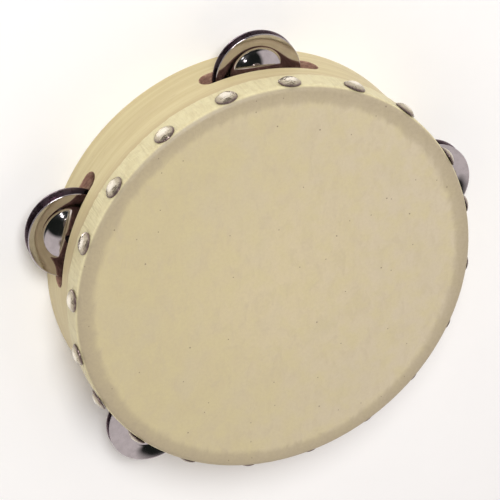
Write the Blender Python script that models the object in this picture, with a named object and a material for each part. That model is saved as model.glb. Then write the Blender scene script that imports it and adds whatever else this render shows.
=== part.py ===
"""Wooden hand tambourine, 200 mm across: a bent-wood hoop with five slots, a natural hide
head nailed over one edge, and a pair of nickel jingles hanging loose on a pin in each slot.

Units are metres. +Z runs along the drum's axis, out of the head. The origin is the centre
of the head's playing face, so the open edge of the hoop is at z = -DRUM_DEPTH.
"""

import math

import bmesh
import bpy
from mathutils import Matrix, Vector

# Drum
HOOP_RADIUS = 0.0997
HOOP_WALL = 0.0055
DRUM_DEPTH = 0.0502
HOOP_EDGE_ROUND = 0.0018
ROUND_STEPS = 3
HIDE_THICKNESS = 0.0008
SKIRT_DEPTH = 0.0158
GAP = 0.0003
HOOP_SEGMENTS = 72

# Slots, each with a pair of jingles on one pin. They are marked out by hand, near enough evenly.
SLOT_ANGLES_DEG = (90.0, 162.0, 236.0, 306.0, 15.9)
SLOT_LENGTH = 0.0595
SLOT_WIDTH = 0.0096
SLOT_CENTRE_Z = -0.0313
SLOT_END_STEPS = 8
CUTTER_INNER = -0.0165
CUTTER_OUTER = 0.0110

# Domed nails that hold the hide. They are driven by hand, so they are not quite evenly spaced.
NAIL_ANGLES_DEG = (
    87.4, 104.9, 123.5, 142.6, 159.6, 176.0, 192.3, 208.2, 226.0, 244.5,
    263.0, 281.5, 300.0, 318.0, 336.5, 355.0, 13.5, 30.0, 51.0, 68.6,
)
NAIL_Z = -0.0054
NAIL_LOW_DROP = 0.0020
NAIL_LOW_ANGLE_DEG = 306.0
NAIL_LOW_FROM, NAIL_LOW_FULL = 0.12, 0.42
NAIL_HEAD_RADIUS = 0.0053
NAIL_HEAD_HEIGHT = 0.0027
NAIL_RIM = 0.0003
NAIL_SHANK_RADIUS = 0.0009
NAIL_SHANK_LENGTH = 0.0046
NAIL_POINT = 0.0009
NAIL_SEGMENTS = 12
NAIL_HOLE_SEGMENTS = 8
NAIL_RINGS = 3

# Pins, driven up the middle of the wall from the open edge
PIN_RADIUS = 0.0010
PIN_HEAD_RADIUS = 0.0017
PIN_HEAD_HEIGHT = 0.0008
PIN_SUNK = 0.0002
PIN_TOP_Z = -0.0175
PIN_POINT = 0.0020
PIN_SEGMENTS = 12

# Jingles: a stamped disc with a domed middle and a brim that rises to its edge, domes outwards
JINGLE_RADIUS = 0.0213
JINGLE_HOLE_RADIUS = 0.0038
JINGLE_SHEET = 0.0005
DOME_RADIUS = 0.0134
DOME_HEIGHT = 0.0030
BRIM_RISE = 0.0015
DOME_RINGS = 2
JINGLE_SEGMENTS = 24
# The hole is loose on the pin, so each disc hangs to one side of it: how far, and which way
UPPER_HANG = (0.0025, 254.0)
LOWER_HANGS = ((0.0021, 250.0), (0.0014, 224.0), (0.0025, 253.0), (0.0020, 240.0), (0.0023, 217.0))

TAU = 2 * math.pi
WELD = 1e-6
SHARP_DEG = 35.0
PIN_CIRCLE_RADIUS = HOOP_RADIUS - HOOP_WALL / 2
SKIN_OUTER_RADIUS = HOOP_RADIUS + GAP + HIDE_THICKNESS
HOOP_TOP_Z = -(HIDE_THICKNESS + GAP)
NAIL_SEAT_RADIUS = SKIN_OUTER_RADIUS + GAP
SLOT_BOTTOM_Z = SLOT_CENTRE_Z - SLOT_WIDTH / 2


def clear_scene():
    for obj in list(bpy.data.objects):
        bpy.data.objects.remove(obj, do_unlink=True)


def make_material(name, colour, roughness, metallic=0.0):
    """A Principled material in one colour."""
    material = bpy.data.materials.new(name)
    material.use_nodes = True
    shader = material.node_tree.nodes["Principled BSDF"]
    shader.inputs["Base Color"].default_value = (*colour, 1.0)
    shader.inputs["Roughness"].default_value = roughness
    shader.inputs["Metallic"].default_value = metallic
    return material


def add_object(name, mesh, material=None):
    obj = bpy.data.objects.new(name, mesh)
    bpy.context.collection.objects.link(obj)
    if material and not mesh.materials:
        mesh.materials.append(material)
    return obj


def add_empty(name, location):
    empty = bpy.data.objects.new(name, None)
    empty.location = location
    bpy.context.collection.objects.link(empty)
    return empty


def add_cutter(name, mesh):
    cutter = add_object(name, mesh)
    cutter.hide_render = True
    cutter.display_type = "WIRE"
    return cutter


def cut(obj, cutter):
    boolean = obj.modifiers.new(cutter.name, "BOOLEAN")
    boolean.operation = "DIFFERENCE"
    boolean.solver = "EXACT"
    boolean.object = cutter


def turned(name, profile, segments, closed=False):
    """A mesh turned about Z from (radius, z) points. An open profile starts and ends on the axis."""
    bm = bmesh.new()
    verts = [bm.verts.new((radius, 0.0, z)) for radius, z in profile]
    edges = [bm.edges.new(pair) for pair in zip(verts, verts[1:])]
    if closed:
        edges.append(bm.edges.new((verts[-1], verts[0])))
    bmesh.ops.spin(
        bm, geom=verts + edges, axis=(0, 0, 1), cent=(0, 0, 0), angle=TAU, steps=segments
    )
    bmesh.ops.remove_doubles(bm, verts=bm.verts, dist=WELD)
    bmesh.ops.recalc_face_normals(bm, faces=bm.faces)
    return finished(name, bm)


def finished(name, bm):
    """The bmesh as a mesh, smooth except at its sharp corners."""
    mesh = bpy.data.meshes.new(name)
    bm.to_mesh(mesh)
    bm.free()
    mesh.shade_smooth()
    mesh.set_sharp_from_angle(angle=math.radians(SHARP_DEG))
    return mesh


def arc(centre, radius, start_deg, end_deg, steps):
    """(radius, z) points along an arc, both ends included."""
    turn = [math.radians(start_deg + (end_deg - start_deg) * i / steps) for i in range(steps + 1)]
    return [(centre[0] + radius * math.cos(a), centre[1] + radius * math.sin(a)) for a in turn]


def polar(radius, angle_deg, z=0.0):
    angle = math.radians(angle_deg)
    return Vector((radius * math.cos(angle), radius * math.sin(angle), z))


def facing_out(angle_deg, radius, z):
    """Local +Z along the drum's radius and local Y along the drum's axis."""
    return Matrix.Translation(polar(radius, angle_deg, z)) @ (
        Matrix.Rotation(math.radians(angle_deg), 4, "Z")
        @ Matrix.Rotation(math.radians(90), 4, "Y")
        @ Matrix.Rotation(math.radians(90), 4, "Z")
    )


def nail_height(angle_deg):
    """The nails round one side were driven a little lower."""
    nearness = math.cos(math.radians(angle_deg - NAIL_LOW_ANGLE_DEG))
    share = (nearness - NAIL_LOW_FROM) / (NAIL_LOW_FULL - NAIL_LOW_FROM)
    return NAIL_Z - NAIL_LOW_DROP * min(1.0, max(0.0, share))


def repeated(name, placements, make_one):
    """One mesh that holds a copy of a shape at each placement."""
    bm = bmesh.new()
    for placement in placements:
        make_one(bm, placement)
    bmesh.ops.recalc_face_normals(bm, faces=bm.faces)
    return finished(name, bm)


def slot_cutter(bm, placement):
    """A round-ended bar, pushed through the wall from outside to inside."""
    half_width = SLOT_WIDTH / 2
    centre = SLOT_LENGTH / 2 - half_width
    outline = arc((centre, 0.0), half_width, -90, 90, SLOT_END_STEPS)
    outline += arc((-centre, 0.0), half_width, 90, 270, SLOT_END_STEPS)
    verts = [bm.verts.new(placement @ Vector((x, y, CUTTER_INNER))) for x, y in outline]
    face = bm.faces.new(verts)
    pushed = bmesh.ops.extrude_face_region(bm, geom=[face])["geom"]
    through = placement.to_3x3() @ Vector((0, 0, CUTTER_OUTER - CUTTER_INNER))
    moved = [v for v in pushed if isinstance(v, bmesh.types.BMVert)]
    bmesh.ops.translate(bm, verts=moved, vec=through)


def drill(radius, length, segments):
    """A drill of this radius, whose end is at the placement and which leaves along +Z."""

    def make_one(bm, placement):
        bmesh.ops.create_cone(
            bm,
            cap_ends=True,
            segments=segments,
            radius1=radius,
            radius2=radius,
            depth=length,
            matrix=placement @ Matrix.Translation((0, 0, length / 2)),
        )

    return make_one


def slot_cutters():
    places = [facing_out(angle, PIN_CIRCLE_RADIUS, SLOT_CENTRE_Z) for angle in SLOT_ANGLES_DEG]
    return add_cutter("slot_cutter", repeated("slot_cutter", places, slot_cutter))


def nail_drills():
    tip_radius = NAIL_SEAT_RADIUS - NAIL_SHANK_LENGTH - NAIL_POINT - GAP
    places = [facing_out(angle, tip_radius, nail_height(angle)) for angle in NAIL_ANGLES_DEG]
    make_one = drill(NAIL_SHANK_RADIUS + GAP, 2 * NAIL_SHANK_LENGTH, NAIL_HOLE_SEGMENTS)
    return add_cutter("nail_drill", repeated("nail_drill", places, make_one))


def pin_drills(name, radius, top_z):
    """Drills up through the open edge, one on each pin's axis, that end at top_z."""
    turned_down = Matrix.Rotation(math.pi, 4, "X")
    places = [
        Matrix.Translation(polar(PIN_CIRCLE_RADIUS, angle, top_z)) @ turned_down
        for angle in SLOT_ANGLES_DEG
    ]
    return add_cutter(name, repeated(name, places, drill(radius, DRUM_DEPTH, PIN_SEGMENTS)))


def build_hoop(material, cutters):
    outer, inner = HOOP_RADIUS, HOOP_RADIUS - HOOP_WALL
    rounding = HOOP_EDGE_ROUND
    corner = (outer - rounding, HOOP_TOP_Z - rounding)
    profile = [(inner, HOOP_TOP_Z), *arc(corner, rounding, 90, 0, ROUND_STEPS)]
    profile += [(outer, -DRUM_DEPTH), (inner, -DRUM_DEPTH)]
    hoop = add_object("hoop", turned("hoop", profile, HOOP_SEGMENTS, closed=True), material)
    for cutter in cutters:
        cut(hoop, cutter)


def build_head(material, nail_holes):
    """The hide: a flat playing face that turns down over the hoop's edge into a skirt."""
    outer, inner = SKIN_OUTER_RADIUS, SKIN_OUTER_RADIUS - HIDE_THICKNESS
    rounding = HOOP_EDGE_ROUND + GAP + HIDE_THICKNESS
    corner = (outer - rounding, -rounding)
    profile = [(0.0, 0.0), *arc(corner, rounding, 90, 0, ROUND_STEPS)]
    profile += [(outer, -SKIRT_DEPTH), (inner, -SKIRT_DEPTH)]
    profile += arc(corner, rounding - HIDE_THICKNESS, 0, 90, ROUND_STEPS)
    profile += [(0.0, -HIDE_THICKNESS)]
    head = add_object("hide_head", turned("hide_head", profile, HOOP_SEGMENTS), material)
    cut(head, nail_holes)


def nail_profile():
    """Dome, rim, flat underside, shank and point, from the top of the dome down."""
    curve = (NAIL_HEAD_RADIUS**2 + NAIL_HEAD_HEIGHT**2) / (2 * NAIL_HEAD_HEIGHT)
    slope = math.degrees(math.acos(NAIL_HEAD_RADIUS / curve))
    top = NAIL_RIM + NAIL_HEAD_HEIGHT
    profile = arc((0.0, top - curve), curve, 90, slope, NAIL_RINGS)
    profile[0] = (0.0, top)
    profile += [(NAIL_HEAD_RADIUS, 0.0), (NAIL_SHANK_RADIUS, 0.0)]
    profile += [(NAIL_SHANK_RADIUS, -NAIL_SHANK_LENGTH)]
    return profile + [(0.0, -NAIL_SHANK_LENGTH - NAIL_POINT)]


def build_nails(material):
    mesh = turned("nail", nail_profile(), NAIL_SEGMENTS)
    for number, angle in enumerate(NAIL_ANGLES_DEG, 1):
        nail = add_object(f"nail_{number:02d}", mesh, material)
        nail.matrix_world = facing_out(angle, NAIL_SEAT_RADIUS, nail_height(angle))


def build_pin(number, axis, material, mesh):
    pin = add_object(f"jingle_pin_{number}", mesh, material)
    pin.parent = axis
    pin.location = (0, 0, PIN_SUNK - DRUM_DEPTH)


def pin_profile():
    """Point, shank and head of a pin that stands on its head."""
    length = DRUM_DEPTH - PIN_SUNK + PIN_TOP_Z
    profile = [(0.0, length), (PIN_RADIUS, length - PIN_POINT), (PIN_RADIUS, PIN_HEAD_HEIGHT)]
    return profile + [(PIN_HEAD_RADIUS, PIN_HEAD_HEIGHT), (PIN_HEAD_RADIUS, 0.0), (0.0, 0.0)]


def jingle_height(radius):
    """Height of the disc's inner surface at this radius."""
    if radius < DOME_RADIUS:
        curve = (DOME_RADIUS**2 + DOME_HEIGHT**2) / (2 * DOME_HEIGHT)
        return DOME_HEIGHT - curve + math.sqrt(curve**2 - radius**2)
    return BRIM_RISE * (radius - DOME_RADIUS) / (JINGLE_RADIUS - DOME_RADIUS)


def dome_top():
    """Height of the dome's outer surface at the edge of the hole, above the bottom of the brim."""
    return jingle_height(JINGLE_HOLE_RADIUS) + JINGLE_SHEET


def jingle_profile():
    """Outer surface from the hole to the edge, then the inner surface back."""
    step = (DOME_RADIUS - JINGLE_HOLE_RADIUS) / DOME_RINGS
    radii = [JINGLE_HOLE_RADIUS + step * i for i in range(DOME_RINGS + 1)] + [JINGLE_RADIUS]
    outer = [(r, jingle_height(r) + JINGLE_SHEET) for r in radii]
    inner = [(r, jingle_height(r)) for r in reversed(radii)]
    return outer + inner


def build_jingles(number, axis, material, mesh):
    """The pair on one pin. The lower disc is turned over and rests on the slot, the upper on it."""
    lower_z = SLOT_BOTTOM_Z + GAP + dome_top()
    lower = add_object(f"jingle_{number}_lower", mesh, material)
    lower.parent = axis
    lower.location = polar(*LOWER_HANGS[number - 1], lower_z)
    lower.rotation_euler = (math.pi, 0, 0)
    upper = add_object(f"jingle_{number}_upper", mesh, material)
    upper.parent = axis
    upper.location = polar(*UPPER_HANG, lower_z + GAP)


def build():
    clear_scene()
    wood = make_material("birch_wood", (0.66, 0.55, 0.34), 0.55)
    hide = make_material("natural_hide", (0.63, 0.54, 0.36), 0.5)
    nickel = make_material("nickel_plate", (0.62, 0.58, 0.52), 0.12, 1.0)
    steel = make_material("steel_wire", (0.45, 0.44, 0.42), 0.3, 1.0)

    nail_holes = nail_drills()
    head_top_z = PIN_HEAD_HEIGHT + PIN_SUNK + GAP - DRUM_DEPTH
    pin_holes = pin_drills("pin_drill", PIN_RADIUS + GAP, PIN_TOP_Z + GAP)
    pin_head_holes = pin_drills("pin_head_drill", PIN_HEAD_RADIUS + GAP, head_top_z)

    build_hoop(wood, [slot_cutters(), nail_holes, pin_holes, pin_head_holes])
    build_head(hide, nail_holes)
    build_nails(nickel)

    pin_mesh = turned("jingle_pin", pin_profile(), PIN_SEGMENTS)
    jingle_mesh = turned("jingle", jingle_profile(), JINGLE_SEGMENTS, closed=True)
    for number, angle in enumerate(SLOT_ANGLES_DEG, 1):
        axis = add_empty(f"pin_axis_{number}", polar(PIN_CIRCLE_RADIUS, angle))
        build_pin(number, axis, steel, pin_mesh)
        build_jingles(number, axis, nickel, jingle_mesh)
    bpy.context.view_layer.update()


build()
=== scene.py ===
"""The looks of the wooden tambourine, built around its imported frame.

Every shown piece stands for one CAD node and rides on its body: a bent-wood hoop with
scorched slots, a nailed hide with a ragged edge, domed nails, pins and stamped nickel jingles.
Meshes are made in the row frame, in metres, so object coordinates are the frame's.
"""

import math

import bmesh
import bpy
from mathutils import Matrix, Vector, noise


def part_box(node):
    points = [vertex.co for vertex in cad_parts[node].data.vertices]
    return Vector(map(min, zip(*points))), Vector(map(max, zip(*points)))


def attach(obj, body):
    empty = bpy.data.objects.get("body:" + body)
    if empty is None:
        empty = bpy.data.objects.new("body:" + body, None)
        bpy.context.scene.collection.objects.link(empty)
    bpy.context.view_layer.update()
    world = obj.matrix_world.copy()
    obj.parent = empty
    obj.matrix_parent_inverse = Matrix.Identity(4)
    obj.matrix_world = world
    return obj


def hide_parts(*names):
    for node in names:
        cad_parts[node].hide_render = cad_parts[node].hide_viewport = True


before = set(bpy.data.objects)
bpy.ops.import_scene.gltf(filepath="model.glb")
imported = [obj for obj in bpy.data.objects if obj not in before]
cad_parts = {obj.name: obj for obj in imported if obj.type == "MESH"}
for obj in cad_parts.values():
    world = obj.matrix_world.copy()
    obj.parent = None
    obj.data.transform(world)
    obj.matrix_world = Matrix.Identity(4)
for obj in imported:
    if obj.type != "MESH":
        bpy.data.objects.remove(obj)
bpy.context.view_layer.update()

TAU = 2 * math.pi
WELD = 1e-6
SHARP_DEG = 40
GAP = 0.0003

# Hoop, beyond what the frame says
HOOP_SEGMENTS = 288
HOOP_TOP_ROUND = 0.0018
HOOP_RIM_ROUND = 0.0006
ROUND_STEPS = 6
HOOP_SHARP_DEG = 30
PLY_COUNT = 5
SEAM_DEG = 270.0
SEAM_WIDTH = 0.00025
# The wood is darker just below the skirt's edge, fading downwards over this span.
BELOW_SKIRT_LOW_Z = -0.0230
BELOW_SKIRT_HIGH_Z = -0.0145

# Slots, routed through the wall and scorched by the cutter
SLOT_LENGTH = 0.0595
SLOT_WIDTH = 0.0096
SLOT_CENTRE_Z = -0.0313
SLOT_BREAK = 0.0004
SLOT_CLEAR = 0.002
SLOT_END_STEPS = 12
SLOT_SIDE_STEPS = 20
WALL_FACING = 0.9

# Hide
HIDE_THICKNESS = 0.0008
HIDE_SEGMENTS = 480
SKIRT_DEPTH = 0.0146
SKIRT_ROWS = 12
RAG = 0.0013
RAG_WAVES = ((3.1, 1.0), (9, 0.5), (40, 0.3))
PLEAT = 0.00035
PLEAT_WAVES = ((34, 1.0), (75, 0.6))
PLEAT_EASE = 1.5
FACE_RINGS = 8

# The ring of painted shade on the face, over the hoop's edge, where the translucent hide lies on the
# wood
BAND_INNER = 0.0925
BAND_OUTER = 0.0986
BAND_SOFT = 0.0018
BAND_WANDER = 0.005
BAND_TICKS = 0.0012

# Nails
NAIL_HEAD_RADIUS = 0.0053
NAIL_HEAD_HEIGHT = 0.0023
NAIL_RIM = 0.0003
NAIL_SHANK_RADIUS = 0.0009
NAIL_SHANK_LENGTH = 0.0046
NAIL_POINT = 0.0009
NAIL_FIT = GAP / 3
NAIL_SEGMENTS = 40
NAIL_RINGS = 10

# Pins
PIN_RADIUS = 0.0010
PIN_HEAD_RADIUS = 0.0017
PIN_HEAD_HEIGHT = 0.0008
PIN_POINT = 0.0020
PIN_SEGMENTS = 24

# Jingles: a dome, a tight gutter round it, and a brim that rises to a rolled edge
JINGLE_RADIUS = 0.0213
JINGLE_HOLE_RADIUS = 0.0038
JINGLE_SHEET = 0.0005
ROLL_DEG = 60
ROLL_STEPS = 4
DOME_CURVE = 0.0296
GUTTER_START = 0.0120
GUTTER_END = 0.0146
GUTTER_SLOPE = 0.40
EDGE_SLOPE = 0.13
BRIM_EASE = 2
JINGLE_RINGS = 60
JINGLE_SEGMENTS = 96

# Camera
CAMERA_AZIMUTH_DEG = 126.0045
CAMERA_ELEVATION_DEG = 55.2577
CAMERA_ROLL_DEG = 139.6004
CAMERA_DISTANCE = 1.02863
CAMERA_AIM = (-0.015574, 0.021069, 0.0)
CAMERA_LENS = 158.4
CAMERA_SENSOR = 36.0
CAMERA_NEAR, CAMERA_FAR = 0.05, 20

# Studio: a pale sky that is dimmer on the camera's side, with a dark patch high up
SKY_PALE = (0.78, 0.72, 0.69)
SKY_DARK = (0.015, 0.018, 0.015)
SKY_PATCH_ELEVATION_DEG = 85
SKY_PATCH_START, SKY_PATCH_FULL = 0.83, 0.89
SKY_DIM_START, SKY_DIM_FULL, SKY_DIM = 0.1, 0.8, 0.28
FLOOR_SIZE = 6.0
FLOOR_TONES = ((0.99, 0.99, 0.99), (0.96, 0.96, 0.96))
LAMPS = {
    "key": dict(azimuth_deg=108, elevation_deg=52, distance=2.2, size=0.93, power=36.5),
    "spark": dict(azimuth_deg=110, elevation_deg=73, distance=1.3, size=0.05, power=0.22),
}

# Colours
BIRCH_PALE = (0.69, 0.595, 0.335)
BIRCH_STREAK = (0.62, 0.52, 0.275)
BIRCH_CLOUD = (0.58, 0.47, 0.255)
BIRCH_FIBRE = (0.48, 0.37, 0.2)
BIRCH_FLECK = (0.36, 0.25, 0.13)
# The wood's darker colour just below the skirt's edge.
BIRCH_BELOW_SKIRT = (0.50, 0.375, 0.235)
BIRCH_PLY = (0.42, 0.29, 0.16)
BIRCH_SEAM = (0.25, 0.16, 0.09)
SCORCH_DARK = (0.20, 0.10, 0.072)
SCORCH_BROWN = (0.38, 0.21, 0.145)
SCORCH_BARE = (0.52, 0.34, 0.23)
# The hide's yellow side is its own tone, made darker with painted shade.
HIDE_YELLOW_SHADED = (0.572, 0.494, 0.292)
HIDE_GREY = (0.610, 0.530, 0.382)
HIDE_MIDDLE = (0.675, 0.575, 0.375)
HIDE_STAIN = (0.535, 0.456, 0.310)
HIDE_BLOTCH = (0.605, 0.530, 0.300)
HIDE_CLOUD = (0.55, 0.48, 0.32)
HIDE_PORE = (0.46, 0.38, 0.25)
# The hide's grey over the hoop's edge is painted shade.
HIDE_BAND_SHADE = (0.400, 0.335, 0.225)
HIDE_SPECK = (0.22, 0.17, 0.12)
SKIRT_PALE = (0.74, 0.67, 0.405)
SKIRT_STAIN = (0.68, 0.60, 0.35)
# The skirt's pleat colour is painted shade in its creases.
SKIRT_PLEAT_SHADE = (0.54, 0.45, 0.27)
# The nails' dark edge colour is painted shade, and their bright top colour is a painted highlight.
NAIL_PAINTED_RIM_SHADE = (0.17, 0.12, 0.12)
NAIL_BODY = (0.52, 0.46, 0.35)
NAIL_PAINTED_HIGHLIGHT = (0.95, 0.89, 0.77)
STEEL = (0.50, 0.49, 0.47)
NICKEL = (0.56, 0.525, 0.55)
# The jingles' hollow sides are darkened with painted shade between the paired discs.
NICKEL_SHADED_INSIDE = (0.24, 0.19, 0.215)


def node_centre(name):
    low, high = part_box(name)
    return (low + high) / 2


def azimuth_of(point):
    return math.degrees(math.atan2(point.y, point.x)) % 360


def polar(radius, angle_deg, z=0.0):
    angle = math.radians(angle_deg)
    return Vector((radius * math.cos(angle), radius * math.sin(angle), z))


def heading(azimuth_deg, elevation_deg):
    """The unit vector that points that way from the middle of the head."""
    elevation = math.radians(elevation_deg)
    return polar(math.cos(elevation), azimuth_deg, math.sin(elevation))


def facing_out(angle_deg, radius, z):
    """Local +Z along the drum's radius and local Y along the drum's axis."""
    return Matrix.Translation(polar(radius, angle_deg, z)) @ (
        Matrix.Rotation(math.radians(angle_deg), 4, "Z")
        @ Matrix.Rotation(math.radians(90), 4, "Y")
        @ Matrix.Rotation(math.radians(90), 4, "Z")
    )


# What the frame says
HOOP_LOW, HOOP_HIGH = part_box("hoop")
HOOP_RADIUS = HOOP_HIGH.x
PIN_NUMBERS = range(1, 6)
PIN_ANGLES = [azimuth_of(node_centre(f"jingle_pin_{i}")) for i in PIN_NUMBERS]
PIN_CIRCLE = node_centre("jingle_pin_1").xy.length
HOOP_WALL = 2 * (HOOP_RADIUS - PIN_CIRCLE)
HOOP_INNER = HOOP_RADIUS - HOOP_WALL
SKIN_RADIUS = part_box("hide_head")[1].x
SKIN_ROUND = HOOP_TOP_ROUND + GAP + HIDE_THICKNESS
NAIL_NAMES = sorted(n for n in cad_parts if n.startswith("nail_"))


# Mesh tools

def arc(centre, radius, start_deg, end_deg, steps):
    """(radius, z) points along an arc, both ends included."""
    turn = [math.radians(start_deg + (end_deg - start_deg) * i / steps) for i in range(steps + 1)]
    return [(centre[0] + radius * math.cos(a), centre[1] + radius * math.sin(a)) for a in turn]


def turned(profile, segments, closed=False):
    """A bmesh turned about Z from (radius, z) points."""
    bm = bmesh.new()
    verts = [bm.verts.new((radius, 0.0, z)) for radius, z in profile]
    edges = [bm.edges.new(pair) for pair in zip(verts, verts[1:])]
    if closed:
        edges.append(bm.edges.new((verts[-1], verts[0])))
    bmesh.ops.spin(
        bm, geom=verts + edges, axis=(0, 0, 1), cent=(0, 0, 0), angle=TAU, steps=segments
    )
    bmesh.ops.remove_doubles(bm, verts=bm.verts, dist=WELD)
    bmesh.ops.recalc_face_normals(bm, faces=bm.faces)
    return bm


def as_mesh(name, bm):
    mesh = bpy.data.meshes.new(name)
    bm.to_mesh(mesh)
    bm.free()
    return mesh


def smooth(mesh, sharp_deg):
    mesh.shade_smooth()
    mesh.set_sharp_from_angle(angle=math.radians(sharp_deg))


def add_piece(name, bm, materials, body, node, sharp_deg=SHARP_DEG):
    """The bmesh as a piece that rides on a body and stands for a CAD node."""
    mesh = as_mesh(name, bm)
    smooth(mesh, sharp_deg)
    for material in materials:
        mesh.materials.append(material)
    piece = bpy.data.objects.new(name, mesh)
    bpy.context.scene.collection.objects.link(piece)
    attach(piece, body)
    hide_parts(node)
    return piece


# Material tools

class Paint:
    """A material's nodes, and the few ways that they are joined here."""

    def __init__(self, name, roughness, metallic=0.0):
        self.material = bpy.data.materials.new(name)
        self.material.use_nodes = True
        self.nodes = self.material.node_tree.nodes
        self.links = self.material.node_tree.links
        self.shader = self.nodes["Principled BSDF"]
        self.shader.inputs["Roughness"].default_value = roughness
        self.shader.inputs["Metallic"].default_value = metallic
        coordinates = self.nodes.new("ShaderNodeTexCoord").outputs
        self.place, self.normal = coordinates["Object"], coordinates["Normal"]

    def feed(self, socket, value):
        if isinstance(value, bpy.types.NodeSocket):
            self.links.new(value, socket)
        elif socket.type == "RGBA":
            socket.default_value = (*value, 1.0)
        else:
            socket.default_value = value

    def maths(self, operation, *values):
        node = self.nodes.new("ShaderNodeMath")
        node.operation = operation
        for socket, value in zip(node.inputs, values):
            self.feed(socket, value)
        return node.outputs[0]

    def scaled(self, vector, scale, turn_deg=0.0):
        node = self.nodes.new("ShaderNodeMapping")
        self.feed(node.inputs["Vector"], vector)
        node.inputs["Rotation"].default_value = (0.0, 0.0, math.radians(turn_deg))
        node.inputs["Scale"].default_value = scale
        return node.outputs[0]

    def noise(self, vector, scale, detail=3.0, roughness=0.5, distortion=0.0):
        node = self.nodes.new("ShaderNodeTexNoise")
        self.feed(node.inputs["Vector"], vector)
        node.inputs["Scale"].default_value = scale
        node.inputs["Detail"].default_value = detail
        node.inputs["Roughness"].default_value = roughness
        node.inputs["Distortion"].default_value = distortion
        return node.outputs["Fac"]

    def cells(self, vector, scale):
        """Over x and y: how far it is to the cell's middle, and the cell's own random number."""
        node = self.nodes.new("ShaderNodeTexVoronoi")
        node.voronoi_dimensions = "2D"
        self.feed(node.inputs["Vector"], vector)
        node.inputs["Scale"].default_value = scale
        return node.outputs["Distance"], self.axes(node.outputs["Color"])[0]

    def span(self, value, low, high, to_low=0.0, to_high=1.0):
        """value from low..high mapped to to_low..to_high on a smooth step, and held beyond."""
        node = self.nodes.new("ShaderNodeMapRange")
        node.interpolation_type = "SMOOTHSTEP"
        names = ("Value", "From Min", "From Max", "To Min", "To Max")
        for name, number in zip(names, (value, low, high, to_low, to_high)):
            self.feed(node.inputs[name], number)
        return node.outputs[0]

    def mix(self, factor, first, second):
        node = self.nodes.new("ShaderNodeMix")
        node.data_type = "RGBA"
        self.feed(node.inputs[0], factor)
        self.feed(node.inputs[6], first)
        self.feed(node.inputs[7], second)
        return node.outputs[2]

    def bump(self, height, distance, after=None):
        node = self.nodes.new("ShaderNodeBump")
        self.feed(node.inputs["Height"], height)
        node.inputs["Strength"].default_value = 1.0
        node.inputs["Distance"].default_value = distance
        if after is not None:
            self.feed(node.inputs["Normal"], after)
        return node.outputs[0]

    def axes(self, vector):
        node = self.nodes.new("ShaderNodeSeparateXYZ")
        self.feed(node.inputs[0], vector)
        return node.outputs

    def vector(self, x, y, z):
        node = self.nodes.new("ShaderNodeCombineXYZ")
        for socket, value in zip(node.inputs, (x, y, z)):
            self.feed(socket, value)
        return node.outputs[0]

    def radius(self):
        x, y, _ = self.axes(self.place)
        return self.maths("SQRT", self.maths("ADD", self.maths("MULTIPLY", x, x),
                                             self.maths("MULTIPLY", y, y)))

    def round_the_hoop(self):
        """(length round the hoop from its seam, height, depth into the wall), in metres."""
        x, y, z = self.axes(self.scaled(self.place, (1, 1, 1), 180 - SEAM_DEG))
        angle = self.maths("ARCTAN2", y, x)
        return self.vector(self.maths("MULTIPLY", angle, HOOP_RADIUS), z, self.radius())

    def finish(self, colour=None, roughness=None, normal=None):
        for name, value in (("Base Color", colour), ("Roughness", roughness), ("Normal", normal)):
            if value is not None:
                self.feed(self.shader.inputs[name], value)
        return self.material


# Materials

def edge_plies(paint):
    """1 on every other ply where the hoop's top or bottom edge is seen."""
    depth = paint.maths("SUBTRACT", paint.radius(), HOOP_INNER)
    ply = paint.maths("FRACT", paint.maths("MULTIPLY", depth, PLY_COUNT / HOOP_WALL / 2))
    upright = paint.maths("ABSOLUTE", paint.axes(paint.normal)[2])
    return paint.maths("MULTIPLY", paint.span(ply, 0.44, 0.52), paint.span(upright, 0.7, 0.9))


def seam_line(paint, along):
    """1 on the thin line where the strip's two ends are glued."""
    length = paint.maths("ABSOLUTE", paint.axes(along)[0])
    off = paint.maths("SUBTRACT", math.pi * HOOP_RADIUS, length)
    return paint.span(off, SEAM_WIDTH, 2 * SEAM_WIDTH, 0.8, 0.0)


def paint_birch():
    """Pale birch ply: fine grain round the hoop, brown clouds, and its plies on the edges."""
    paint = Paint("birch_ply", 0.5)
    along = paint.round_the_hoop()
    streaks = paint.noise(paint.scaled(along, (9, 260, 260)), 1.0, 4, 0.6, 0.4)
    fibres = paint.noise(paint.scaled(along, (60, 1700, 1700)), 1.0, 3, 0.6)
    clouds = paint.noise(paint.scaled(along, (16, 40, 40)), 1.0, 3, 0.5)
    flecks = paint.noise(paint.scaled(along, (170, 2600, 2600)), 1.0, 1)
    colour = paint.mix(paint.span(streaks, 0.35, 0.68), BIRCH_PALE, BIRCH_STREAK)
    colour = paint.mix(paint.span(clouds, 0.42, 0.75, 0.0, 0.7), colour, BIRCH_CLOUD)
    colour = paint.mix(paint.span(fibres, 0.3, 0.75, 0.0, 0.2), colour, BIRCH_FIBRE)
    colour = paint.mix(paint.span(flecks, 0.70, 0.80, 0.0, 0.4), colour, BIRCH_FLECK)
    # Darker wood just below the skirt's edge, fading downwards.
    glued = paint.span(paint.axes(along)[1], BELOW_SKIRT_LOW_Z, BELOW_SKIRT_HIGH_Z, 0.0, 0.45)
    colour = paint.mix(glued, colour, BIRCH_BELOW_SKIRT)
    colour = paint.mix(edge_plies(paint), colour, BIRCH_PLY)
    colour = paint.mix(seam_line(paint, along), colour, BIRCH_SEAM)
    rough = paint.span(fibres, 0.2, 0.8, 0.42, 0.6)
    relief = paint.bump(fibres, 0.00006, paint.bump(streaks, 0.00012))
    return paint.finish(colour, rough, relief)


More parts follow.
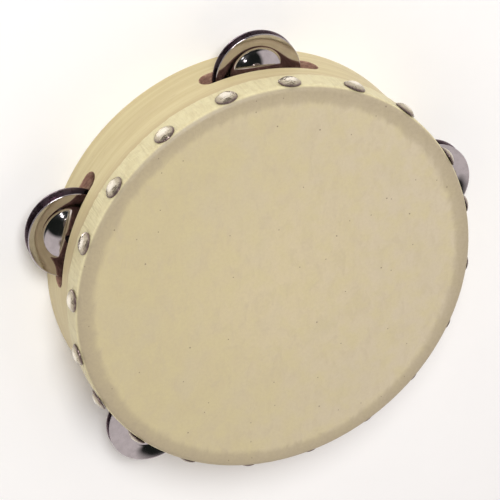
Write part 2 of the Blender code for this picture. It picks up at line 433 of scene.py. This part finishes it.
def paint_scorched():
    """The brown scorched face of a slot."""
    paint = Paint("scorched_birch", 0.75)
    grain = paint.noise(paint.scaled(paint.round_the_hoop(), (300, 900, 1500)), 1.0, 4, 0.7)
    blots = paint.noise(paint.place, 350, 3, 0.6)
    colour = paint.mix(paint.span(grain, 0.3, 0.7), SCORCH_DARK, SCORCH_BROWN)
    colour = paint.mix(paint.span(blots, 0.5, 0.75, 0.0, 0.7), colour, SCORCH_BARE)
    return paint.finish(colour, None, paint.bump(grain, 0.0002))


def painted_band_shade(paint, along, wander, grain):
    """How much painted shade the face gets over the hoop's edge, where the translucent hide lies on the
    wood: a ring, soft and uneven inside.
    """
    ticks = paint.noise(paint.scaled(along, (650, 1, 130)), 1.0, 2)
    shift = paint.maths("MULTIPLY", paint.maths("SUBTRACT", wander, 0.5), BAND_WANDER)
    shift = paint.maths("MULTIPLY_ADD", paint.maths("SUBTRACT", ticks, 0.5), BAND_TICKS, shift)
    place = paint.maths("ADD", paint.radius(), shift)
    inside = paint.span(place, BAND_INNER - BAND_SOFT, BAND_INNER + BAND_SOFT)
    deep = paint.span(place, BAND_INNER, BAND_OUTER, 0.68, 0.95)
    patchy = paint.span(grain, 0.3, 0.7, 1.0, 0.75)
    return paint.maths("MULTIPLY", paint.maths("MULTIPLY", inside, deep), patchy)


def specks(paint, scale, size, rare):
    """Dots on the face, one in the middle of some of the cells."""
    distance, chance = paint.cells(paint.place, scale)
    spot = paint.span(distance, size * 0.6, size, 0.85, 0.0)
    return paint.maths("MULTIPLY", spot, paint.maths("GREATER_THAN", chance, rare))


def paint_hide():
    """Natural hide: mottled cream, with painted shade where it lies on the hoop's edge, paler and
    pleated down the skirt with painted shade in its pleats. It is yellower towards one side, and darker
    there with painted shade."""
    paint = Paint("natural_hide", 0.5)
    x, _, height = paint.axes(paint.place)
    along = paint.round_the_hoop()
    clouds = paint.noise(paint.scaled(paint.place, (52, 34, 50), 35), 1.0, 4, 0.55, 0.5)
    stains = paint.noise(paint.scaled(paint.place, (170, 90, 170), -50), 1.0, 4, 0.6, 0.8)
    blotches = paint.noise(paint.place, 95, 3, 0.6)
    pores = paint.noise(paint.place, 620, 3, 0.65)
    pleats = paint.noise(paint.scaled(along, (560, 60, 60)), 1.0, 3, 0.6, 0.3)
    # Yellower towards one side, which is the hide's own tone, and darker there with painted shade.
    lean = paint.maths("MULTIPLY_ADD", clouds, 0.16, x)
    colour = paint.mix(paint.span(lean, 0.0, 0.16), HIDE_YELLOW_SHADED, HIDE_GREY)
    colour = paint.mix(paint.span(paint.radius(), 0.0, 0.08, 0.5, 0.0), colour, HIDE_MIDDLE)
    colour = paint.mix(paint.span(stains, 0.45, 0.70, 0.0, 0.5), colour, HIDE_STAIN)
    colour = paint.mix(paint.span(blotches, 0.36, 0.72, 0.0, 0.6), colour, HIDE_BLOTCH)
    colour = paint.mix(paint.span(clouds, 0.5, 0.72, 0.0, 0.35), colour, HIDE_CLOUD)
    colour = paint.mix(paint.span(pores, 0.3, 0.75, 0.0, 0.18), colour, HIDE_PORE)
    # Painted shade in a ring over the hoop's edge.
    colour = paint.mix(painted_band_shade(paint, along, stains, pores), colour, HIDE_BAND_SHADE)
    side = paint.span(height, -0.0006, -0.0018)
    pale = paint.mix(paint.span(stains, 0.4, 0.7), SKIRT_PALE, SKIRT_STAIN)
    # Painted shade: darker streaks in the skirt's pleats.
    pale = paint.mix(paint.span(pleats, 0.45, 0.75, 0.0, 0.35), pale, SKIRT_PLEAT_SHADE)
    dots = paint.maths("MAXIMUM", specks(paint, 30, 0.014, 0.5), specks(paint, 85, 0.03, 0.8))
    colour = paint.mix(dots, colour, HIDE_SPECK)
    colour = paint.mix(side, colour, pale)
    rough = paint.span(pores, 0.25, 0.75, 0.42, 0.58)
    relief = paint.bump(pores, 0.00005, paint.bump(stains, 0.0003))
    relief = paint.bump(paint.maths("MULTIPLY", pleats, side), 0.0006, relief)
    return paint.finish(colour, rough, relief)


def paint_metal(name, tint, roughness, dent, dent_scale):
    """Plated metal with faint smears and the shallow dents of thin pressed sheet."""
    paint = Paint(name, roughness, 1.0)
    smears = paint.noise(paint.place, 190, 4, 0.6)
    dents = paint.noise(paint.place, dent_scale, 1)
    colour = paint.mix(paint.span(smears, 0.35, 0.7), tint, tuple(0.88 * c for c in tint))
    rough = paint.span(smears, 0.3, 0.75, roughness * 0.6, roughness * 1.5)
    return paint.finish(colour, rough, paint.bump(dents, dent))


def paint_nails():
    """Nickel, with a painted highlight on top of each dome and painted shade round its edge."""
    paint = Paint("nickel_nail", 0.15, 1.0)
    proud = paint.maths("SUBTRACT", paint.radius(), SKIN_RADIUS + GAP)
    smears = paint.noise(paint.place, 420, 3, 0.6)
    patchy = paint.maths("MULTIPLY_ADD", paint.maths("SUBTRACT", smears, 0.5), 0.0012, proud)
    # Painted shade round each dome's edge, where it meets the hide.
    colour = paint.mix(paint.span(patchy, 0.0002, 0.0015), NAIL_PAINTED_RIM_SHADE, NAIL_BODY)
    # Painted highlight on top of each dome.
    colour = paint.mix(paint.span(patchy, 0.0016, 0.0025), colour, NAIL_PAINTED_HIGHLIGHT)
    rough = paint.span(patchy, 0.0003, 0.0020, 0.34, 0.2)
    dents = paint.noise(paint.place, 430, 2, 0.6)
    return paint.finish(colour, rough, paint.bump(dents, 0.0007))


# Hoop

def slot_outline(grow):
    """(length from the slot's middle, half its width there) from one end to the other."""
    half = SLOT_WIDTH / 2 + grow
    straight = (SLOT_LENGTH - SLOT_WIDTH) / 2
    turn = [math.radians(90 * i / SLOT_END_STEPS) for i in range(SLOT_END_STEPS + 1)]
    end = [(straight + half * math.cos(a), half * math.sin(a)) for a in turn]
    side = [(straight * (1 - 2 * i / SLOT_SIDE_STEPS), half) for i in range(1, SLOT_SIDE_STEPS)]
    return end + side + [(-along, width) for along, width in reversed(end)]


def add_slot_cutter(bm, pin_angle):
    """A round-ended bar that follows the wall round and flares where it leaves each face."""
    sections = [
        (HOOP_RADIUS + SLOT_CLEAR, SLOT_BREAK + SLOT_CLEAR),
        (HOOP_RADIUS - SLOT_BREAK, 0.0),
        (HOOP_INNER + SLOT_BREAK, 0.0),
        (HOOP_INNER - SLOT_CLEAR, SLOT_BREAK + SLOT_CLEAR),
    ]
    rings = []
    for radius, grow in sections:
        sides = []
        for sign in (1, -1):
            verts = []
            for along, width in slot_outline(grow):
                angle = pin_angle + math.degrees(along / HOOP_RADIUS)
                verts.append(bm.verts.new(polar(radius, angle, SLOT_CENTRE_Z + sign * width)))
            sides.append(verts)
        rings.append(sides)
    for first, second in zip(rings, rings[1:]):
        for a, b in zip(first, second):
            for i in range(len(a) - 1):
                bm.faces.new((a[i], a[i + 1], b[i + 1], b[i]))
    for upper, lower in (rings[0], rings[-1]):
        for i in range(len(upper) - 1):
            bm.faces.new((upper[i], upper[i + 1], lower[i + 1], lower[i]))


def slot_cutter():
    bm = bmesh.new()
    for pin_angle in PIN_ANGLES:
        add_slot_cutter(bm, pin_angle)
    bmesh.ops.remove_doubles(bm, verts=bm.verts, dist=WELD)
    bmesh.ops.recalc_face_normals(bm, faces=bm.faces)
    cutter = bpy.data.objects.new("slot_cutter", as_mesh("slot_cutter", bm))
    bpy.context.scene.collection.objects.link(cutter)
    return cutter


def round_cutters(name, profile, places):
    """The same turned cutter at each place."""
    bm = bmesh.new()
    for place in places:
        one = turned(profile, PIN_SEGMENTS)
        bmesh.ops.transform(one, matrix=place, verts=one.verts)
        mesh = as_mesh(name, one)
        bm.from_mesh(mesh)
        bpy.data.meshes.remove(mesh)
    cutter = bpy.data.objects.new(name, as_mesh(name, bm))
    bpy.context.scene.collection.objects.link(cutter)
    return cutter


def pin_cutter():
    """The pins' bores, with a counterbore for each head in the open edge."""
    low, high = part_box("jingle_pin_1")
    bore, head = PIN_RADIUS + GAP, PIN_HEAD_RADIUS + GAP
    step = PIN_HEAD_HEIGHT + GAP
    top = high.z - low.z + GAP
    profile = [(0.0, -SLOT_CLEAR), (head, -SLOT_CLEAR), (head, step)]
    profile += [(bore, step), (bore, top), (0.0, top)]
    places = [Matrix.Translation(polar(PIN_CIRCLE, angle, low.z)) for angle in PIN_ANGLES]
    return round_cutters("pin_cutter", profile, places)


def nail_cutter():
    """The holes that the nails' shanks go through."""
    bore = NAIL_SHANK_RADIUS + NAIL_FIT
    deep = -NAIL_SHANK_LENGTH - NAIL_POINT - GAP
    profile = [(0.0, SLOT_CLEAR), (bore, SLOT_CLEAR), (bore, deep), (0.0, deep)]
    centres = [node_centre(name) for name in NAIL_NAMES]
    places = [facing_out(azimuth_of(c), SKIN_RADIUS + GAP, c[2]) for c in centres]
    return round_cutters("nail_cutter", profile, places)


def cut_away(piece, cutter):
    """Applies the cut, so that the piece keeps only its own mesh."""
    boolean = piece.modifiers.new("cut", "BOOLEAN")
    boolean.operation = "DIFFERENCE"
    boolean.solver = "EXACT"
    boolean.object = cutter
    bpy.context.view_layer.update()
    shaped = piece.evaluated_get(bpy.context.evaluated_depsgraph_get())
    piece.data = bpy.data.meshes.new_from_object(shaped)
    piece.modifiers.clear()
    bpy.data.objects.remove(cutter, do_unlink=True)


def is_slot_face(face):
    """Whether a face of the cut hoop is inside a slot, between the two faces of the wall."""
    radius = face.center.xy.length
    outward = abs(Vector(face.normal.xy).dot(face.center.xy.normalized()))
    in_wall = HOOP_INNER + WELD < radius < HOOP_RADIUS - WELD
    at_slot = abs(face.center.z - SLOT_CENTRE_Z) < SLOT_WIDTH / 2 + SLOT_BREAK
    return in_wall and at_slot and outward < WALL_FACING


def build_hoop(birch, scorched):
    edge = HOOP_RIM_ROUND
    corner = (HOOP_RADIUS - HOOP_TOP_ROUND, HOOP_HIGH.z - HOOP_TOP_ROUND)
    profile = [(HOOP_INNER, HOOP_HIGH.z), *arc(corner, HOOP_TOP_ROUND, 90, 0, ROUND_STEPS)]
    profile += arc((HOOP_RADIUS - edge, HOOP_LOW.z + edge), edge, 0, -90, ROUND_STEPS)
    profile += arc((HOOP_INNER + edge, HOOP_LOW.z + edge), edge, -90, -180, ROUND_STEPS)
    bm = turned(profile, HOOP_SEGMENTS, closed=True)
    hoop = add_piece("birch_hoop", bm, [birch, scorched], "drum", "hoop")
    for cutter in (slot_cutter(), pin_cutter(), nail_cutter()):
        cut_away(hoop, cutter)
    for face in hoop.data.polygons:
        face.material_index = int(is_slot_face(face))
    smooth(hoop.data, HOOP_SHARP_DEG)


# Hide

def waves(outward, sizes):
    """Noise round the drum, added up over (frequency, share) pairs."""
    return sum(share * noise.noise(outward * frequency) for frequency, share in sizes)


def shape_skirt(vert):
    """The skirt's ragged cut edge, and the pleats that run up from it."""
    down = (-vert.co.z - SKIN_ROUND) / (SKIRT_DEPTH - SKIN_ROUND)
    if down <= 0 or vert.co.xy.length < SKIN_RADIUS - HIDE_THICKNESS - WELD:
        return
    outward = Vector((vert.co.x, vert.co.y, 0.0)).normalized()
    rag, pleat = waves(outward, RAG_WAVES), waves(outward, PLEAT_WAVES)
    vert.co += outward * PLEAT * abs(pleat) * min(1.0, down) ** PLEAT_EASE
    vert.co.z -= RAG * rag * down


def build_hide(hide):
    outer, inner = SKIN_RADIUS, SKIN_RADIUS - HIDE_THICKNESS
    corner = (outer - SKIN_ROUND, -SKIN_ROUND)
    face = [outer * i / (FACE_RINGS + 1) for i in range(FACE_RINGS + 1)]
    skirt = [-SKIN_ROUND - (SKIRT_DEPTH - SKIN_ROUND) * i / SKIRT_ROWS for i in range(1, SKIRT_ROWS + 1)]
    profile = [(r, 0.0) for r in face] + arc(corner, SKIN_ROUND, 90, 0, ROUND_STEPS)
    profile += [(outer, z) for z in skirt] + [(inner, z) for z in reversed(skirt)]
    profile += arc(corner, SKIN_ROUND - HIDE_THICKNESS, 0, 90, ROUND_STEPS)
    profile += [(r, -HIDE_THICKNESS) for r in reversed(face)]
    bm = turned(profile, HIDE_SEGMENTS)
    for vert in bm.verts:
        shape_skirt(vert)
    piece = add_piece("rawhide_head", bm, [hide], "drum", "hide_head")
    cut_away(piece, nail_cutter())
    smooth(piece.data, SHARP_DEG)


# Nails and pins

def nail_profile():
    """Dome, rim, flat underside, shank and point, from the top of the dome down."""
    curve = (NAIL_HEAD_RADIUS**2 + NAIL_HEAD_HEIGHT**2) / (2 * NAIL_HEAD_HEIGHT)
    slope = math.degrees(math.acos(NAIL_HEAD_RADIUS / curve))
    top = NAIL_RIM + NAIL_HEAD_HEIGHT
    profile = arc((0.0, top - curve), curve, 90, slope, NAIL_RINGS)
    profile[0] = (0.0, top)
    profile += [(NAIL_HEAD_RADIUS, 0.0), (NAIL_SHANK_RADIUS, 0.0)]
    profile += [(NAIL_SHANK_RADIUS, -NAIL_SHANK_LENGTH)]
    return profile + [(0.0, -NAIL_SHANK_LENGTH - NAIL_POINT)]


def build_nails(nickel):
    for name in NAIL_NAMES:
        centre = node_centre(name)
        bm = turned(nail_profile(), NAIL_SEGMENTS)
        place = facing_out(azimuth_of(centre), SKIN_RADIUS + GAP, centre[2])
        bmesh.ops.transform(bm, matrix=place, verts=bm.verts)
        add_piece("domed_" + name, bm, [nickel], "drum", name)


def build_pins(steel):
    for number, angle in zip(PIN_NUMBERS, PIN_ANGLES):
        low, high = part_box(f"jingle_pin_{number}")
        height = high.z - low.z
        round_off = PIN_HEAD_HEIGHT / 2
        profile = [(0.0, height), (PIN_RADIUS, height - PIN_POINT), (PIN_RADIUS, PIN_HEAD_HEIGHT)]
        profile += [(PIN_HEAD_RADIUS, PIN_HEAD_HEIGHT), (PIN_HEAD_RADIUS, round_off)]
        profile += [(PIN_HEAD_RADIUS - round_off, 0.0), (0.0, 0.0)]
        bm = turned(profile, PIN_SEGMENTS)
        bmesh.ops.translate(bm, verts=bm.verts, vec=polar(PIN_CIRCLE, angle, low.z))
        add_piece(f"steel_pin_{number}", bm, [steel], "drum", f"jingle_pin_{number}")


# Jingles

def jingle_slope(radius):
    """How fast the disc rises outwards: down the dome, then up the brim, easing to its edge."""
    dome = -radius / math.sqrt(DOME_CURVE**2 - radius**2)
    inward = min(1.0, (JINGLE_RADIUS - radius) / (JINGLE_RADIUS - GUTTER_END))
    brim = EDGE_SLOPE + (GUTTER_SLOPE - EDGE_SLOPE) * inward**BRIM_EASE
    share = min(1.0, max(0.0, (radius - GUTTER_START) / (GUTTER_END - GUTTER_START)))
    share = share * share * (3 - 2 * share)
    return dome + (brim - dome) * share


def jingle_line():
    """(radius, height) of the disc's inner surface, from the hole out, lowest in the gutter."""
    step = (JINGLE_RADIUS - JINGLE_SHEET / 2 - JINGLE_HOLE_RADIUS) / JINGLE_RINGS
    line, height = [], 0.0
    for i in range(JINGLE_RINGS + 1):
        radius = JINGLE_HOLE_RADIUS + step * i
        line.append((radius, height))
        height += jingle_slope(radius + step / 2) * step
    lowest = min(height for _, height in line)
    return [(radius, height - lowest) for radius, height in line]


def jingle_profile():
    """Outer surface from the hole to the rolled edge, then the inner surface back."""
    line = jingle_line()
    outer = [(radius, height + JINGLE_SHEET) for radius, height in line]
    edge = (line[-1][0], line[-1][1] + JINGLE_SHEET / 2)
    return outer + arc(edge, JINGLE_SHEET / 2, ROLL_DEG, -ROLL_DEG, ROLL_STEPS) + line[::-1]


def shade_inside(bm):
    """Gives the hollow side of a disc the second material, darker and rougher: its darkness is painted
    shade between the paired discs.
    """
    bm.normal_update()
    for face in bm.faces:
        face.material_index = int(face.normal.z < 0)


def build_jingles(materials):
    for number in PIN_NUMBERS:
        for side in ("lower", "upper"):
            name = f"jingle_{number}_{side}"
            low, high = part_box(name)
            x, y = (low + high).xy / 2
            bm = turned(jingle_profile(), JINGLE_SEGMENTS, closed=True)
            shade_inside(bm)
            if side == "upper":
                place = Matrix.Translation((x, y, low.z))
            else:
                place = Matrix.Translation((x, y, high.z)) @ Matrix.Rotation(math.pi, 4, "X")
            bmesh.ops.transform(bm, matrix=place, verts=bm.verts)
            add_piece("nickel_" + name, bm, materials, name, name)


# Stage

def build_floor():
    bm = bmesh.new()
    bmesh.ops.create_grid(bm, x_segments=1, y_segments=1, size=FLOOR_SIZE)
    floor = bpy.data.objects.new("floor", as_mesh("floor", bm))
    floor.location.z = HOOP_LOW.z
    bpy.context.scene.collection.objects.link(floor)
    paint = Paint("pale_floor", 0.6)
    tone = paint.noise(paint.place, 40, 4)
    floor.data.materials.append(paint.finish(paint.mix(tone, *FLOOR_TONES)))


def build_world():
    """The pale sky, dimmer towards the camera's side, with its dark patch."""
    world = bpy.data.worlds.new("studio")
    bpy.context.scene.world = world
    world.use_nodes = True
    nodes, links = world.node_tree.nodes, world.node_tree.links
    outward = nodes.new("ShaderNodeTexCoord").outputs["Generated"]
    shares = []
    for middle in (heading(CAMERA_AZIMUTH_DEG, SKY_PATCH_ELEVATION_DEG), heading(CAMERA_AZIMUTH_DEG, 0)):
        towards = nodes.new("ShaderNodeVectorMath")
        towards.operation = "DOT_PRODUCT"
        towards.inputs[1].default_value = middle
        links.new(outward, towards.inputs[0])
        shares.append(towards.outputs["Value"])
    ramp = nodes.new("ShaderNodeValToRGB")
    pale, dark = ramp.color_ramp.elements
    pale.position, pale.color = SKY_PATCH_START, (*SKY_PALE, 1)
    dark.position, dark.color = SKY_PATCH_FULL, (*SKY_DARK, 1)
    links.new(shares[0], ramp.inputs[0])
    links.new(ramp.outputs[0], nodes["Background"].inputs["Color"])
    dimmer = nodes.new("ShaderNodeMapRange")
    names = ("From Min", "From Max", "To Min", "To Max")
    for name, number in zip(names, (SKY_DIM_START, SKY_DIM_FULL, 1.0, SKY_DIM)):
        dimmer.inputs[name].default_value = number
    links.new(shares[1], dimmer.inputs["Value"])
    links.new(dimmer.outputs[0], nodes["Background"].inputs["Strength"])


def add_lamp(name, azimuth_deg, elevation_deg, distance, size, power):
    """A round soft light that faces the middle of the head."""
    light = bpy.data.lights.new(name, "AREA")
    light.shape = "DISK"
    light.size = size
    light.energy = power
    lamp = bpy.data.objects.new(name, light)
    away = heading(azimuth_deg, elevation_deg)
    lamp.location = away * distance
    lamp.rotation_mode = "QUATERNION"
    lamp.rotation_quaternion = away.to_track_quat("Z", "Y")
    bpy.context.scene.collection.objects.link(lamp)


def build_camera():
    """The camera looks down on the head from one side, rolled about its own axis."""
    data = bpy.data.cameras.new("camera")
    data.lens = CAMERA_LENS
    data.sensor_width = CAMERA_SENSOR
    data.clip_start, data.clip_end = CAMERA_NEAR, CAMERA_FAR
    camera = bpy.data.objects.new("camera", data)
    back = heading(CAMERA_AZIMUTH_DEG, CAMERA_ELEVATION_DEG)
    level = Vector((0, 0, 1)).cross(back).normalized()
    turn = Matrix((level, back.cross(level), back)).transposed().to_4x4()
    place = Matrix.Translation(Vector(CAMERA_AIM) + back * CAMERA_DISTANCE)
    camera.matrix_world = place @ turn @ Matrix.Rotation(math.radians(CAMERA_ROLL_DEG), 4, "Z")
    bpy.context.scene.collection.objects.link(camera)
    bpy.context.scene.camera = camera


build_camera()
build_hoop(paint_birch(), paint_scorched())
build_hide(paint_hide())
build_nails(paint_nails())
build_pins(paint_metal("pin_steel", STEEL, 0.28, 0.00005, 900))
build_jingles([
    paint_metal("nickel_jingle", NICKEL, 0.09, 0.00004, 90),
    # Darker hollow sides: painted shade between the paired discs.
    paint_metal("shaded_dull_nickel", NICKEL_SHADED_INSIDE, 0.26, 0.00006, 200),
])
build_floor()
build_world()
for lamp_name, lamp in LAMPS.items():
    add_lamp(lamp_name, **lamp)
bpy.context.scene.view_settings.view_transform = "Standard"
